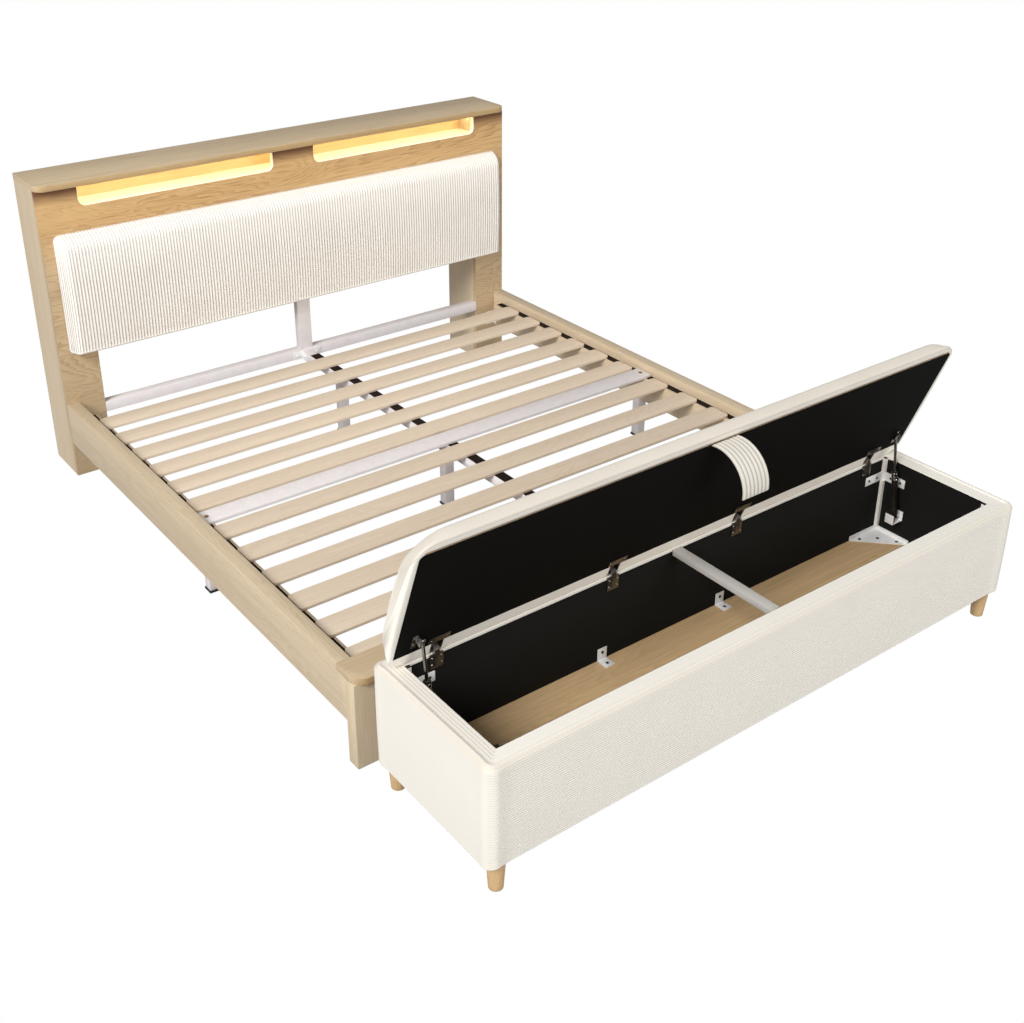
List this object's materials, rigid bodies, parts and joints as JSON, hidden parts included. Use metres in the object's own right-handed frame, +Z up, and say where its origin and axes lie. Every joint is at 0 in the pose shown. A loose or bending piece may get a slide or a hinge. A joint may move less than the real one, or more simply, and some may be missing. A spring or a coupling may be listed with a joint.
{
  "type": "storage bed",
  "caption": "Wide wooden bed with a slotted, lit, padded headboard, slatted base and a separate ribbed storage bench at the foot with a lid on gas struts.",
  "frame": {"origin": "on the floor, at the middle of the whole set with the lid open as pictured", "axes": "+Z up, +X across the bed, -Y the way the bench faces, +Y towards the headboard"},
  "size_m": [2.1, 2.956, 1.18],
  "materials": {
    "oak": "satin",
    "oak_ledge": "satin",
    "birch": "matte",
    "pale_wood": "matte",
    "bench_board": "matte",
    "black_tape": "matte",
    "pale_steel": "satin",
    "zinc": "satin",
    "brass": "satin",
    "bronze": "satin",
    "black_plastic": "matte",
    "strut_black": "satin",
    "polished_rod": "polished",
    "corduroy": "matte",
    "black_cloth": "matte",
    "light_strip": "matte"
  },
  "bodies": {
    "bed_frame": {"bar_screws": "brass", "centre_rails": "pale_steel", "cubby_back": "oak", "cubby_floor": "oak", "foot_cap": "oak", "foot_leg_left": "oak", "foot_leg_right": "oak", "foot_panel": "oak", "foot_rail": "oak", "frame_bolts": "zinc", "frame_brackets": "zinc", "head_cross_tube": "pale_steel", "headboard_back_panel": "oak", "headboard_bottom_board": "oak", "headboard_cushion": "corduroy", "headboard_front_panel": "oak", "headboard_leg_backs": "oak", "headboard_leg_front_left": "oak", "headboard_leg_front_right": "oak", "headboard_leg_inner_left": "oak", "headboard_leg_inner_right": "oak", "headboard_post": "pale_steel", "headboard_side_left": "oak", "headboard_side_right": "oak", "headboard_top_shelf": "oak", "leg_glides": "black_plastic", "light_strips": "light_strip", "mid_cross_bar": "pale_steel", "side_rail_left": "oak", "side_rail_right": "oak", "slat_ledge_left": "oak_ledge", "slat_ledge_right": "oak_ledge", "slat_tapes": "black_tape", "slats_foot": "birch", "slats_head": "birch", "support_legs": "pale_steel"},
    "bench": {"bench_brace": "zinc", "bench_brackets": "zinc", "bench_corner_plates": "zinc", "bench_corner_strips": "pale_wood", "bench_cover": "corduroy", "bench_floor": "bench_board", "bench_hinge_arms": "bronze", "bench_legs": "oak", "bench_lining": "black_cloth", "bench_strut_brackets": "zinc", "bench_wall_front": "bench_board", "bench_wall_left": "bench_board", "bench_wall_rear": "bench_board", "bench_wall_right": "bench_board"},
    "lid": {"lid_cushion": "corduroy", "lid_hinge_cups": "bronze", "lid_lining": "black_cloth", "lid_panel": "bench_board", "lid_strap": "corduroy", "lid_strut_brackets": "zinc"},
    "left_strut_cylinder": {"strut_left_cylinder": "strut_black"},
    "left_strut_rod": {"strut_left_rod": "polished_rod"},
    "right_strut_cylinder": {"strut_right_cylinder": "strut_black"},
    "right_strut_rod": {"strut_right_rod": "polished_rod"}
  },
  "joints": [
    {"name": "bench_slide", "type": "slide", "parent": "bed_frame", "child": "bench", "axis": [0, -1, 0], "range_m": [-0.06, 0.5]},
    {"name": "lid_hinge", "type": "hinge", "parent": "bench", "child": "lid", "pos_m": [0, -1.007, 0.443], "axis": [1, 0, 0], "range_deg": [0, 69.45], "deforming": ["lid_strap"]},
    {"name": "left_strut_swing", "type": "hinge", "parent": "bench", "child": "left_strut_cylinder", "pos_m": [-0.95, -1.111, 0.227], "axis": [1, 0, 0], "range_deg": [-0.3, 2.75]},
    {"name": "left_rod_slide", "type": "slide", "parent": "left_strut_cylinder", "child": "left_strut_rod", "axis": [0, 0.1336, 0.991], "range_m": [-0.1087, 0.0002]},
    {"name": "right_strut_swing", "type": "hinge", "parent": "bench", "child": "right_strut_cylinder", "pos_m": [0.95, -1.111, 0.227], "axis": [1, 0, 0], "range_deg": [-0.3, 2.75]},
    {"name": "right_rod_slide", "type": "slide", "parent": "right_strut_cylinder", "child": "right_strut_rod", "axis": [0, 0.1336, 0.991], "range_m": [-0.1087, 0.0002]}
  ],
  "couplings": [
    {"joint": "left_strut_swing", "follows": "lid_hinge", "ratio": 0.036969},
    {"joint": "left_rod_slide", "follows": "lid_hinge", "m_per_rad": -0.089329},
    {"joint": "right_strut_swing", "follows": "lid_hinge", "ratio": 0.036969},
    {"joint": "right_rod_slide", "follows": "lid_hinge", "m_per_rad": -0.089329}
  ]
}
